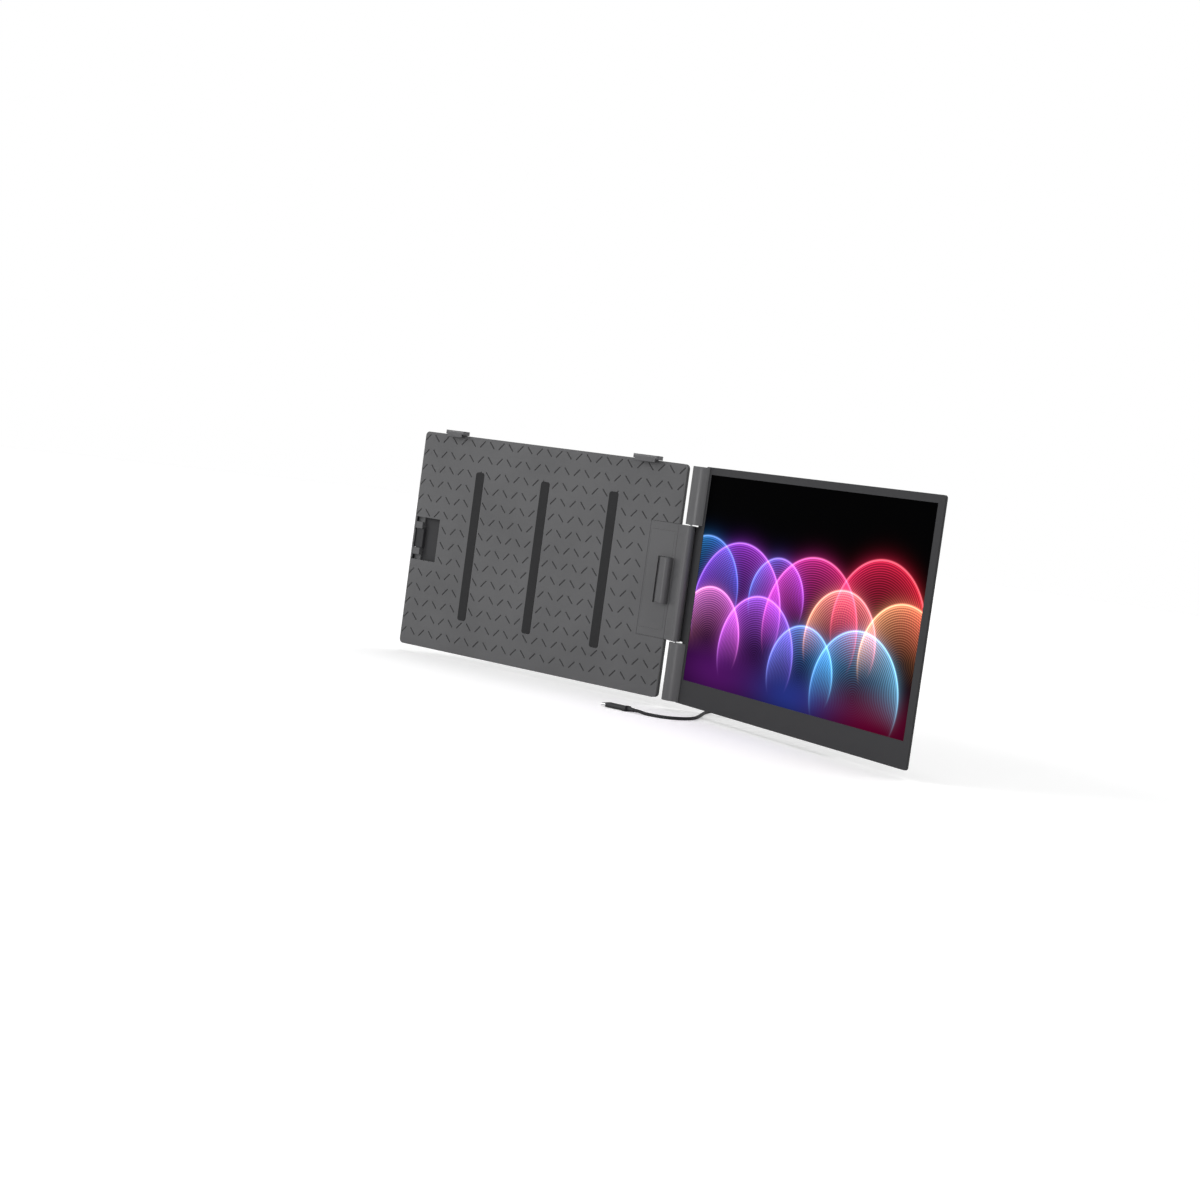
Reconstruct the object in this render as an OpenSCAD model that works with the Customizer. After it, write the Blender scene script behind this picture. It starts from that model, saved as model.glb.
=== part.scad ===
// Clip-on laptop screen extender: a bracket that grips the lid of a laptop, and a second screen
// that is hinged to the bracket's right edge and swings like the leaf of a book.
//
// Frame: millimetres, +Z up, +X towards the screen, +Y away from the user. The origin is the centre
// of the seat that the laptop's lid leans on. The bracket stands upright, as on a lid opened to 90
// degrees, and the screen is swung a little towards the user.

/* [Screen] */
// Width of the lit area
active_w = 344.6; // [290:0.2:350]
// Height of the lit area
active_h = 215.4; // [180:0.2:220]
// Front frame beside the lit area, on the hinge side
bezel_left = 10.4; // [8:0.1:14]
// Front frame beside the lit area, on the free side
bezel_right = 8.6; // [7.8:0.1:12]
// Front frame above the lit area
bezel_top = 7.7; // [7.6:0.1:12]
// Front frame below the lit area, over the driver board
bezel_chin = 25.3; // [22:0.1:32]
// Corner radius of the screen's outline
screen_corner_r = 3; // [2:0.5:5]
// Height of the screen's square edge, before the back tapers
screen_edge_t = 2.6; // [2.2:0.1:3.5]
// Thickness of the screen at the middle of its slim part
screen_slim_t = 8; // [7:0.1:10]
// How far in from the edge the back's taper reaches
screen_taper = 9; // [7.5:0.5:14]
// Wall of the screen's two shells
screen_wall = 1.3; // [1:0.1:1.6]

/* [Electronics box] */
// Width of the thicker box at the foot of the screen's back
box_w = 214; // [180:1:260]
// Height of the box
box_h = 64; // [56:1:80]
// How far the box stands out of the slim back
box_t = 6.5; // [6:0.1:9]
// Distance from the hinge axis to the box's near side
box_x = 44; // [40:1:60]

/* [Bracket] */
// Width of the bracket
bracket_w = 372.6; // [340:0.2:380]
// Thickness of the bracket
bracket_t = 7.5; // [7.5:0.1:9]
// Corner radius of the bracket's outline
bracket_corner_r = 5; // [4:0.5:8]
// Wall of the bracket's back shell
bracket_wall = 1.5; // [1.2:0.1:1.8]
// Thickness of the bracket's front cover
cover_t = 1.5; // [1.3:0.1:1.8]
// How far the rubber strips stand out of the front cover
strip_proud = 0.3; // [0.2:0.05:0.5]
// Depth of the grooves in the front cover
groove_depth = 0.5; // [0.3:0.05:0.7]
// Height between two rows of grooves
groove_rise = 17.35; // [16:0.05:22]
// Width between two columns of grooves
groove_pitch = 14; // [13:0.1:18]

/* [Hinge] */
// Radius of the hinge barrel and the knuckles
barrel_r = 5.5; // [5:0.1:6.5]
// Length of the central barrel
barrel_len = 122; // [100:1:140]
// Length of each knuckle
knuckle_len = 61; // [50:0.5:61]
// Gap between the barrel and each knuckle
knuckle_gap = 1.3; // [0.6:0.1:3]
// Distance from the hinge axis to the bracket's edge
axis_to_bracket = 17; // [16:0.1:22]
// Distance from the hinge axis to the screen's edge
axis_to_screen = 7; // [6.6:0.1:9]
// How far the hinge axis lies in front of the lid seat
axis_to_seat = 3; // [2:0.1:4]
// How far the screen's front lies behind the hinge axis
axis_to_front = 5; // [4.5:0.1:6]
// Radius of the steel hinge pins
pin_r = 2; // [1.5:0.1:2.5]
// How far the screen is swung towards the user from straight
swing = 19.7; // [0:0.1:40]

/* [Lid clips] */
// Thickness of the laptop lid that the hooks take
lid_gap = 6.2; // [5:0.1:6.4]
// Width of the left top clip
top_clip_w = 28; // [26:0.5:40]
// Width of the right top clip, beside the hinge
right_clip_w = 33; // [26:0.5:40]
// Distance from the bracket's side edge to the middle of a top clip
top_clip_inset = 50.3; // [46:0.1:76]
// Travel of a top clip
top_clip_travel = 20; // [12:1:24]
// Height of the side hooks
side_hook_h = 49; // [40:1:56]
// Travel of the right side hook
side_hook_travel = 12; // [8:1:14]
// Travel of the left side hook's slider
left_travel = 24; // [16:1:30]

/* [Kickstand] */
// Width of the kickstand
stand_w = 150; // [120:2:180]
// Length of the kickstand from its pin
stand_len = 104; // [90:1:108]
// Thickness of the kickstand
stand_t = 2.6; // [2.4:0.1:3]

/* [Cable] */
// Diameter of the cable
cord_d = 3.4; // [3:0.1:4]

/* [Hidden] */
$fn = 48;

// Clearances
fit = 0.3;
run = 0.05;
face = 0.02;

// Outline sizes that follow from the driving ones
screen_w = bezel_left + active_w + bezel_right;
screen_h = bezel_top + active_h + bezel_chin;
bracket_h = screen_h;
hinge_x = bracket_w / 2 + axis_to_bracket;
hinge_y = -axis_to_seat;

top_clip_x = bracket_w / 2 - top_clip_inset;

// Layers of the bracket, from the lid seat backwards
cover_front = strip_proud;
cover_back = cover_front + cover_t;
shell_back = cover_front + bracket_t;
cavity_back = shell_back - bracket_wall;
stem_t = 2;
stem_front = cover_back + fit;
rib_x = bracket_w / 2 - 74.3;
rib_z = [16.2 - bracket_h / 2, 58, 92];

// Layers of the screen, from its front backwards, in the frame of the hinge axis
bezel_lip = 0.5;
lip_gap = 0.08;
lip_reach = 1.75;
bezel_back = axis_to_front + screen_edge_t;
glass_front = axis_to_front + bezel_lip + face;
glass_t = 1.1;
glass_margin = 1.8;
glass_back = glass_front + glass_t;
tray_front = glass_back + face;
tray_t = 2.2;
tray_back = tray_front + tray_t;
slim_back = axis_to_front + screen_slim_t;
box_back = slim_back + box_t;

// Places on the screen, in the frame of the hinge axis
screen_mid_x = axis_to_screen + screen_w / 2;
active_mid_x = axis_to_screen + bezel_left + active_w / 2;
active_mid_z = (bezel_chin - bezel_top) / 2;
inner_back = slim_back - screen_wall;
box_mid_x = box_x + box_w / 2;
box_mid_z = -screen_h / 2 + 7 + box_h / 2;
box_corner_r = 6;
box_inner_back = box_back - screen_wall;
chin_rib_pitch = 40;

// Driver board and what stands on it
socket_w = 8.9;
socket_h = 3.2;
socket_len = 7.4;
socket_wall = 0.3;
socket_room = 0.2;
board_t = 1.2;
board_back = box_inner_back - socket_h - socket_room;
board_side = 4;
post_r = 2.2;
socket_y = board_back + face + socket_h / 2;
socket_z = [box_mid_z - 17, box_mid_z - 2];
hdmi_w = 11.2;
hdmi_z = box_mid_z + 15;
button_w = 8;
button_z = box_mid_z - 16;
button_travel = 0.5;
button_proud = 0.7;
rocker_w = 16;
rocker_z = box_mid_z + 6;
rocker_tilt = 4;
key_h = 2.8;
flange_rim = 0.7;

// Hinge arms and pins
arm_reach = 7.4;
arm_lip = 0.8;
crown_mid = [0.37, barrel_r + 4];
crown_r = norm([axis_to_screen + arm_reach, axis_to_front - arm_lip] - crown_mid);
flange_t = 2;
flange_front = tray_back + 0.2;
flange_len = 25;
arm_screw_x = [axis_to_screen + 13, axis_to_screen + 21];
sleeve_r = 3.4;
sleeve_len = 28;
pin_half = 25.5;
cap_r = 4;
cap_t = 2;
knuckle_mid_z = barrel_len / 2 + knuckle_gap + knuckle_len / 2;

// Screws
screw_r = 1;
head_r = 1.9;
head_t = 0.5;
shank_len = 3.6;
boss_r = 3;

// Rubber strips on the lid seat
strip_inset = 90.3;
strip_x = [for (i = [-1 : 1]) i * (bracket_w / 2 - strip_inset)];
strip_w = 12;
strip_h = 170;
strip_seat = 0.5;
strip_r = 3;

// Top clips and their springs
stem_w = top_clip_w - 8;
stem_len = 56;
bar_h = 4.4;
bar_back = stem_front + stem_t + 0.2;
bar_end_r = 2.5;
bar_r = 2;
lip_inset = 3;
lip_t = 1.5;
lip_drop = 2.2;
clip_front = -lid_gap - lip_t;
clip_base = bracket_h / 2 + fit;
clip_mid_y = (clip_front + bar_back) / 2;
clip_deep = bar_back - clip_front;
pad_t = 0.6;
rail_t = 1.6;
rail_len = 48;
rail_mid_z = (bracket_h - rail_len) / 2 - 1;
spring_len = 30;
spring_r = 1.5;
spring_wire = 0.5;
spring_turns = 12;
spring_sides = 6;
spring_steps = 12;
spring_y = stem_front + spring_r;
spring_top = bracket_h / 2 - stem_len - 0.1;
peg_r = 1.8;

// Line round the bracket's back, and the vents of the electronics box
trim_inset = 8;
trim_w = 0.8;
trim_depth = 0.4;
trim_r = 3;
vent_count = 9;
vent_pitch = 4;
vent_len = 14;
vent_w = 1.2;
vent_mid = [box_mid_x - 30, box_mid_z + 8];

// Leaf of the hinge on the bracket
leaf_w = 36;
leaf_edge = bracket_w / 2 - leaf_w;
leaf_half = barrel_len / 2;
inlay_t = 0.5;
inlay_w = 31;
inlay_end = 8.5;
crease = 0.5;

// Right side hook
hook_edge = 1.3;
hook_wall = 7.2;
hook_lip = 4.2;
hook_r = 5.5;
hook_neck = 5;
hook_outer = bracket_w / 2 - hook_edge;
hook_inner = hook_outer - hook_wall;
hook_plate = 33;
hook_plate_edge = bracket_w / 2 - bracket_wall - 1;

// Left side hook, folded into its pocket
pocket_rim = 2.2;
flip_t = 2;
flip_sunk = 1.6;
flip_pin_r = 0.6;
flip_lip = 2.2;
flip_x = -bracket_w / 2 + pocket_rim + fit + flip_t / 2;
flip_y = cover_front + flip_sunk + flip_t / 2;
flip_len = flip_y - clip_front;
pocket_edge = flip_x - flip_t / 2 - fit;
ear_h = 7.7;
ear_inset = 5.5;
ear_mid_z = (side_hook_h - ear_h) / 2 - ear_inset;
slider_front = flip_y + flip_t / 2 + fit;
slider_t = 2;
slider_w = flip_len - lip_t - fit + flip_t / 2;
slider_wing = 4;

// Kickstand
stand_z = 14;
stand_pin_r = 0.8;
stand_mid_y = shell_back - stand_t / 2;
pan_floor = shell_back - stand_t - 2 * fit;
pan_t = 1.2;
foot_h = 4;
scoop_r = 8.2;
scoop_y = shell_back + 5;
scoop_w = 26;

// Where the bracket's screws stand: under the rubber strips and under the leaf's inlay
screw_rise = 75;
screw_places = concat(
    [for (i = [0, 2], row = [-1 : 1]) [strip_x[i], row * screw_rise]],
    [for (z = [40, screw_rise]) [strip_x[1], z]]
);
leaf_screw_x = [leaf_edge + 7, leaf_edge + leaf_w - 12];
leaf_screws = [for (x = leaf_screw_x, side = [-1, 1]) [x, side * (leaf_half - 16)]];

// Plugs
screen_plug_len = 19;
screen_relief_len = 6;
laptop_plug_len = 25.5;
laptop_relief_len = 7.5;
plug_w = 11.6;
plug_t = 5.6;
plug_nose = 0.4;
collar_len = 4;
plug_tip = 6.2;
plug_tip_w = 8.25;
plug_tip_t = 2.4;
relief_r = 2.5;
plug_stop = 0.4;

// Cable. It lies on a surface a little below the bracket and the screen.
floor_z = -bracket_h / 2 - 9;
cord_z = floor_z + cord_d / 2;
cord_sides = 8;
plug_z = floor_z + plug_t / 2;
laptop_plug_at = [187, -82, plug_z];
laptop_mouth = laptop_plug_at + [laptop_plug_len + laptop_relief_len, 0, 0];
coil_at = [248, 82];
coil_mid_r = 18;
coil_turns_wide = 3;
coil_turns_high = 2;
route_low = [
    laptop_mouth, laptop_mouth + [3, 0, 0], laptop_mouth + [6.5, 0, 0],
    [232, -81.6, -131.1], [238.5, -80.6, cord_z], [245, -79.4, cord_z], [251, -77, cord_z],
    [256, -72.8, cord_z], [260, -67, cord_z], [262.6, -60, cord_z], [264, -52, cord_z],
    [264, -43, cord_z], [262, -33, cord_z], [256.5, -19, cord_z], [246, 3, cord_z],
    [236, 24, cord_z], [229, 48, cord_z], [226.8, 68, cord_z], [226.6, 80, cord_z]
];
coil_top_z = floor_z + (coil_turns_high - 0.5) * cord_d;
route_high = [
    [269.4, 80, coil_top_z], [269, 62, coil_top_z], [265, 48, -125], [254, 36, -118],
    [240, 29, -110], [228, 25.5, -105], [219.5, 22.5, -102.6], [216, 17, -102.2],
    [217, 11.5, -102.2]
];

// Colours
shade_shell = "#3c3c3e";
shade_cover = "#4a4a4c";
shade_metal = "#b8babd";
shade_rubber = "#262628";
shade_board = "#1f5a3a";

// ---- Shared shapes ----

// A plate in the XZ plane that runs from y0 to y0 + t
module slab(y0, t) {
    translate([0, y0 + t, 0]) rotate([90, 0, 0]) linear_extrude(t) children();
}

// A bar along X of the section drawn in Y and Z
module bar_along_x(x0, len) {
    translate([x0, 0, 0]) rotate([90, 0, 90]) linear_extrude(len) children();
}

// A post along Z of the section drawn in X and Y
module post(z0, h) {
    translate([0, 0, z0]) linear_extrude(h) children();
}

// A rectangle w by h with corners of radius r
module rounded(w, h, r) {
    square([w - 2 * r, h], center = true);
    square([w, h - 2 * r], center = true);
    for (sx = [-1, 1], sz = [-1, 1]) translate([sx * (w / 2 - r), sz * (h / 2 - r)]) circle(r);
}

// Carries the frame of the hinge axis to its place in the part
module on_screen() {
    translate([hinge_x, hinge_y, 0]) rotate([0, 0, -swing]) children();
}

// The place in the part of a point in the frame of the hinge axis
function placed(p) = [
    hinge_x + p[0] * cos(swing) + p[1] * sin(swing),
    hinge_y - p[0] * sin(swing) + p[1] * cos(swing),
    p[2]
];

// Point near which a line from p touches the circle of radius r about the origin, a little inside
function touch(p, r, side) =
    let (turn = atan2(p[1], p[0]) + side * acos(r / norm(p)))
    0.99 * r * [cos(turn), sin(turn)];

module bracket_outline(inset = 0) {
    rounded(bracket_w - 2 * inset, bracket_h - 2 * inset, bracket_corner_r - inset);
}

module screen_outline(inset = 0) {
    translate([screen_mid_x, 0])
        rounded(screen_w - 2 * inset, screen_h - 2 * inset, max(screen_corner_r - inset, 1));
}

// ---- Bracket ----

module bracket_tray() {
    edge_round = 1.4;
    skin = 0.2;
    difference() {
        union() {
            slab(cover_back, shell_back - edge_round - cover_back) bracket_outline();
            hull() {
                slab(shell_back - edge_round - skin, skin, $fn = 32) bracket_outline($fn = 32);
                slab(shell_back - skin, skin, $fn = 32) bracket_outline(edge_round, $fn = 32);
            }
        }
        slab(cover_back - 1, cavity_back - cover_back + 1) bracket_outline(bracket_wall);
    }
}

// The stand's outline, from above its pin to under its free end
module stand_bay(w, margin) {
    translate([-w / 2, stand_z - stand_len - margin]) square([w, stand_len + stand_t / 2 + 2 * margin]);
}

module trim_outline(inset) {
    rounded(bracket_w - 2 * inset, bracket_h - 2 * inset, trim_r);
}

module bracket_ribs() {
    rib_t = 1.2;
    rib_h = 1.6;
    slab(cavity_back - rib_h, rib_h + 0.4) {
        for (z = rib_z) translate([0, z]) square([bracket_w - 2, rib_t], center = true);
        for (side = [-1, 1]) translate([side * rib_x, 0]) square([rib_t, bracket_h - 2], center = true);
    }
}

module bracket_shell() {
    pan_side = bracket_wall + fit;
    color(shade_shell) difference() {
        union() {
            bracket_tray();
            // Pan that the folded stand lies in, and the floor of its finger scoop
            slab(pan_floor - pan_t, shell_back - 1 - pan_floor + pan_t) {
                stand_bay(stand_w + 2 * fit + 7, pan_side);
                translate([0, stand_z - stand_len - 4]) square([scoop_w + 4, 15], center = true);
            }
            slab(cover_back + 0.1, cavity_back - cover_back)
                for (p = concat(screw_places, leaf_screws)) translate(p) circle(boss_r);
            bracket_ribs();
            // Rails beside the stems of the top clips, and the pegs of their springs
            slab(cover_back + fit, cavity_back - cover_back) for (sx = [-1, 1]) {
                for (side = [-1, 1])
                    translate([sx * top_clip_x + side * (stem_w / 2 + 1.2), rail_mid_z])
                        square([rail_t, rail_len], center = true);
                translate([sx * top_clip_x, spring_top - spring_len - peg_r]) circle(peg_r);
            }
        }
        // Line round the back
        slab(shell_back - trim_depth, 1) difference() {
            trim_outline(trim_inset);
            trim_outline(trim_inset + trim_w);
        }
        slab(pan_floor, stand_t + 3) stand_bay(stand_w + 2 * fit, fit);
        translate([-scoop_w / 2, scoop_y, stand_z - stand_len - 3]) rotate([0, 90, 0])
            cylinder(r = scoop_r, h = scoop_w);
        bar_along_x(-stand_w / 2 - 4, stand_w + 8)
            translate([stand_mid_y, stand_z]) circle(stand_pin_r + run);
        slab(cover_back - 1, 5)
            for (p = concat(screw_places, leaf_screws)) translate(p) circle(screw_r + run);
        // Ways out for the top clips' stems
        slab(stem_front - fit, stem_t + 2 * fit) for (sx = [-1, 1])
            translate([sx * top_clip_x, bracket_h / 2]) square([stem_w + 2 * fit, 8], center = true);
        // Room for the springs and for the sliding plates of both side hooks
        slab(cover_back - 1, cavity_back - cover_back + 1) {
            for (sx = [-1, 1])
                translate([sx * top_clip_x, spring_top - spring_len / 2 + 2])
                    square([2 * spring_r + 2, spring_len + 4], center = true);
            translate([hook_plate_edge - hook_plate - side_hook_travel - 1, -side_hook_h / 2 - 1])
                square([hook_plate + side_hook_travel + 1.5, side_hook_h + 2]);
            translate([pocket_edge, -side_hook_h / 2 - slider_wing - 1])
                square([left_travel + slider_w + 2, side_hook_h + 2 * slider_wing + 2]);
        }
    }
}

// Slanting dashes in rows and columns, every second column leaning the other way
module groove_dashes() {
    dash = 10.5;
    stroke = 1.5;
    lean = 46;
    row_shift = -4.2;
    columns = floor((bracket_w / 2 - 4) / groove_pitch);
    rows = ceil(bracket_h / 2 / groove_rise);
    for (i = [-columns : columns], j = [-rows : rows])
        let (z = j * groove_rise + row_shift)
            if (abs(z) < (bracket_h - dash) / 2 - 1)
                translate([i * groove_pitch, z]) rotate(i % 2 == 0 ? -lean : lean)
                    square([dash, stroke], center = true);
}

module front_cover() {
    color(shade_cover) difference() {
        slab(cover_front, cover_t - face) bracket_outline();
        slab(cover_front - 1, groove_depth + 1) intersection() {
            groove_dashes();
            bracket_outline(1.2);
        }
        slab(cover_front - 1, strip_seat + 1)
            for (x = strip_x) translate([x, 0]) rounded(strip_w + 0.2, strip_h + 0.2, strip_r);
        // Cut-outs for the hinge leaf and for the left side hook
        slab(cover_front - 1, cover_t + 2) {
            translate([leaf_edge - fit, -leaf_half - fit]) square([leaf_w + 5, barrel_len + 2 * fit]);
            translate([pocket_edge, -side_hook_h / 2 - fit])
                square([left_travel + flip_len + flip_t / 2 + 2 * fit, side_hook_h + 2 * fit]);
            for (p = screw_places) translate(p) circle(screw_r + run);
        }
        slab(cover_front - 1, strip_seat + head_t + 1 + face)
            for (p = screw_places) translate(p) circle(head_r + 0.1);
    }
}

module rubber_strips() {
    color(shade_rubber) slab(0, strip_proud + strip_seat - face)
        for (x = strip_x) translate([x, 0]) rounded(strip_w, strip_h, strip_r - 0.1);
}

// Section of the barrel, its bridge to the bracket's edge and the flat leaf
module leaf_section() {
    edge = [bracket_w / 2 - hinge_x, cover_front - hinge_y];
    plate_back = cover_back - hinge_y - face;
    back = [edge[0] + run, plate_back];
    translate([hinge_x, hinge_y]) {
        circle(barrel_r);
        polygon([[edge[0] - leaf_w, edge[1]], edge, touch(edge, barrel_r, 1), [0, 0],
            touch(back, barrel_r, -1), back, [edge[0] - leaf_w, plate_back]]);
    }
}

// Slot in the leaf and its inlay that the right side hook's neck slides in
module hook_slot() {
    slab(cover_front - 1, cover_t + 2)
        translate([hook_inner - side_hook_travel - fit, -side_hook_h / 2 - fit])
            square([hook_neck + side_hook_travel + 2 * fit, side_hook_h + 2 * fit]);
}

module inlay_outline(margin) {
    translate([leaf_edge + 1.6 - margin, -leaf_half + inlay_end - margin])
        square([inlay_w + 2 * margin, barrel_len - 2 * inlay_end + 2 * margin]);
}

module hinge_leaf() {
    color(shade_cover) difference() {
        post(-leaf_half, barrel_len) leaf_section();
        hook_slot();
        slab(cover_front - 1, inlay_t + 1) inlay_outline(0.1);
        // Crease where the flat leaf bends to the barrel
        post(-leaf_half - 1, barrel_len + 2) translate([bracket_w / 2, cover_front])
            rotate(45) square(crease, center = true);
        slab(cover_front - 1, inlay_t + head_t + 1 + face)
            for (p = leaf_screws) translate(p) circle(head_r + 0.1);
        slab(cover_front - 1, cover_t + 2) for (p = leaf_screws) translate(p) circle(screw_r + run);
        for (side = [-1, 1])
            translate([hinge_x, hinge_y, side * leaf_half])
                cylinder(r = pin_r + run, h = 2 * pin_half, center = true);
    }
}

module leaf_cover() {
    color(shade_shell) difference() {
        slab(cover_front, inlay_t - face) inlay_outline(0);
        hook_slot();
    }
}

module hinge_pins() {
    color(shade_metal) for (side = [-1, 1])
        translate([hinge_x, hinge_y, side * (leaf_half + knuckle_gap / 2)])
            cylinder(r = pin_r, h = 2 * pin_half - 1, center = true);
}

// A flat-headed screw whose head starts at y0
module screw_at(p, y0) {
    slab(y0, head_t) translate(p) circle(head_r);
    slab(y0, head_t + shank_len) translate(p) circle(screw_r);
}

module bracket_screws() {
    color(shade_metal) {
        for (p = screw_places) screw_at(p, cover_front + strip_seat);
        for (p = leaf_screws) screw_at(p, cover_front + inlay_t);
    }
}

// ---- Clips that hold the lid ----

module clip_bar_section() {
    translate([clip_mid_y, clip_base + bar_h / 2]) rounded(clip_deep, bar_h, bar_r);
}

module clip_lip_section() {
    translate([clip_front, clip_base - lip_drop]) square([lip_t, lip_drop + bar_h / 2]);
    translate([clip_front + lip_t / 2, clip_base - lip_drop]) circle(lip_t / 2);
}

module top_clip(x, w) {
    lip_w = w - 2 * lip_inset;
    color(shade_cover) difference() {
        union() {
            intersection() {
                bar_along_x(x - w / 2, w) clip_bar_section();
                // Rounds the ends of the bar as seen from above
                post(clip_base - 1, bar_h + 2) translate([x, clip_mid_y])
                    rounded(w, clip_deep, bar_end_r);
            }
            bar_along_x(x - lip_w / 2, lip_w) clip_lip_section();
            slab(stem_front, stem_t)
                translate([x - stem_w / 2, bracket_h / 2 - stem_len]) square([stem_w, stem_len + 2]);
        }
        // Window that lightens the stem
        slab(stem_front - 1, stem_t + 2) translate([x, bracket_h / 2 - 34]) rounded(stem_w - 12, 26, 3);
    }
}

module top_clip_left() { top_clip(-top_clip_x, top_clip_w); }
module top_clip_right() { top_clip(top_clip_x, right_clip_w); }

module top_clip_pads(x, w) {
    color(shade_rubber) slab(-lid_gap + face, pad_t)
        translate([x, bracket_h / 2 + 0.1 - lip_drop / 2])
            square([w - 2 * lip_inset - 1, lip_drop - 0.2], center = true);
}

module top_clip_pads_left() { top_clip_pads(-top_clip_x, top_clip_w); }
module top_clip_pads_right() { top_clip_pads(top_clip_x, right_clip_w); }

// A coil spring along Z from z0 up, swept as one closed tube
module coil_spring(z0, len) {
    count = spring_turns * spring_steps;
    points = [for (k = [0 : count], s = [0 : spring_sides - 1])
        let (turn = 360 * k / spring_steps, round = 360 * s / spring_sides,
            reach = spring_r - spring_wire / 2 + spring_wire / 2 * cos(round))
        [reach * cos(turn), reach * sin(turn),
            z0 + spring_wire / 2 + (len - spring_wire) * k / count + spring_wire / 2 * sin(round)]];
    polyhedron(points, tube_faces(count, spring_sides));
}

// Faces of a tube of count stretches between rings of the given number of points, closed at its ends
function tube_faces(count, sides) = concat(
    [for (k = [0 : count - 1], s = [0 : sides - 1])
        let (t = (s + 1) % sides, a = k * sides)
        [a + s, a + sides + s, a + sides + t, a + t]],
    [[for (s = [0 : sides - 1]) s], [for (s = [sides - 1 : -1 : 0]) count * sides + s]]
);

module top_spring(x) {
    color(shade_metal) translate([x, spring_y, 0]) coil_spring(spring_top - spring_len, spring_len);
}

module top_spring_left() { top_spring(-top_clip_x); }
module top_spring_right() { top_spring(top_clip_x); }

// Section of the right side hook: a wall at the lid's edge with a lip over the lid's bezel
module side_hook_section() {
    tip = hook_inner - hook_lip;
    translate([hook_outer - hook_r, clip_front + hook_r]) intersection() {
        circle(hook_r);
        translate([-0.5, -hook_r]) square([hook_r + 0.5, hook_r]);
    }
    translate([tip + lip_t / 2, clip_front]) square([hook_wall + hook_lip - hook_r - lip_t / 2, lip_t]);
    translate([tip + lip_t / 2, clip_front + lip_t / 2]) circle(lip_t / 2);
    translate([hook_inner, clip_front + lip_t - 0.01])
        square([hook_outer - hook_inner - hook_r, 0.1 - clip_front - lip_t]);
    translate([hook_inner, clip_front + hook_r]) square([hook_wall, 0.1 - clip_front - hook_r]);
    translate([hook_inner, -0.5]) square([hook_neck, cover_back + fit + 1]);
}

module side_hook_right() {
    bevel = 1.6;
    color(shade_cover) {
        difference() {
            post(-side_hook_h / 2, side_hook_h) side_hook_section();
            // What the section's rounded corner leaves inside the gap for the lid
            post(-side_hook_h / 2 - 1, side_hook_h + 2)
                translate([hook_inner - 4, -lid_gap]) square([4, lid_gap]);
            for (side = [-1, 1])
                translate([hook_outer - hook_wall / 2, clip_front, side * side_hook_h / 2])
                    rotate([45, 0, 0]) cube([3 * hook_wall, bevel, bevel], center = true);
        }
        slab(cover_back + fit, stem_t)
            translate([hook_plate_edge - hook_plate, -side_hook_h / 2]) square([hook_plate, side_hook_h]);
    }
}

module side_hook_pad_right() {
    color(shade_rubber) slab(-lid_gap + face, pad_t)
        translate([hook_inner - hook_lip / 2 + 0.1, 0])
            square([hook_lip - 0.4, side_hook_h - 8], center = true);
}

module side_slider_left() {
    color(shade_cover) difference() {
        union() {
            slab(slider_front, slider_t)
                translate([flip_x - flip_t / 2, -side_hook_h / 2 - slider_wing])
                    square([slider_w, side_hook_h + 2 * slider_wing]);
            slab(cover_front + 0.1, slider_front - cover_front) for (side = [-1, 1])
                translate([flip_x - flip_t / 2 + slider_w / 2, side * ear_mid_z])
                    square([slider_w, ear_h], center = true);
        }
        translate([flip_x, flip_y, 0])
            cylinder(r = flip_pin_r + run, h = side_hook_h + 2, center = true);
    }
}

// Section of the folding hook, lying flat with its lip pointing into the bracket
module flip_section() {
    front = flip_y - flip_t / 2;
    difference() {
        union() {
            translate([flip_x, flip_y]) circle(flip_t / 2);
            translate([flip_x, front]) square([flip_len - lip_t / 2, flip_t]);
            translate([flip_x + flip_len - lip_t / 2, front + lip_t / 2]) circle(lip_t / 2);
            translate([flip_x + flip_len - lip_t, front + lip_t / 2])
                square([lip_t, flip_t + flip_lip - lip_t / 2]);
        }
        translate([flip_x, flip_y]) circle(flip_pin_r + run);
    }
}

module flip_hook_left() {
    length = 2 * ear_mid_z - ear_h - 2 * fit;
    color(shade_shell) post(-length / 2, length) flip_section();
}

module flip_hook_pin() {
    color(shade_metal) translate([flip_x, flip_y, 0])
        cylinder(r = flip_pin_r, h = 2 * ear_mid_z + ear_h - 0.4, center = true);
}

// ---- Kickstand ----

module kickstand() {
    rim = 1.6;
    color(shade_shell) difference() {
        union() {
            slab(shell_back - stand_t, stand_t)
                translate([-stand_w / 2, stand_z - stand_len + foot_h])
                    square([stand_w, stand_len - foot_h]);
            bar_along_x(-stand_w / 2, stand_w) translate([stand_mid_y, stand_z]) circle(stand_t / 2);
        }
        // Hollows on the face that lies inwards, with a rim and a middle rib between them
        slab(shell_back - stand_t - 1, stand_t - rim + 1) for (side = [-1, 1])
            translate([side * stand_w / 4, stand_z - stand_len / 2 - 1])
                rounded(stand_w / 2 - 9, stand_len - 24, 4);
        bar_along_x(-stand_w, 2 * stand_w) translate([stand_mid_y, stand_z]) circle(stand_pin_r + run);
    }
}

module kickstand_pin() {
    color(shade_metal) bar_along_x(-stand_w / 2 - 3.5, stand_w + 7)
        translate([stand_mid_y, stand_z]) circle(stand_pin_r);
}

module kickstand_foot() {
    color(shade_rubber) slab(shell_back - stand_t + 0.1, stand_t - 0.2)
        translate([-stand_w / 2 + 1, stand_z - stand_len]) square([stand_w - 2, foot_h - face]);
}

// ---- Screen ----

module active_area(margin) {
    translate([active_mid_x, active_mid_z])
        square([active_w + 2 * margin, active_h + 2 * margin], center = true);
}

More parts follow.
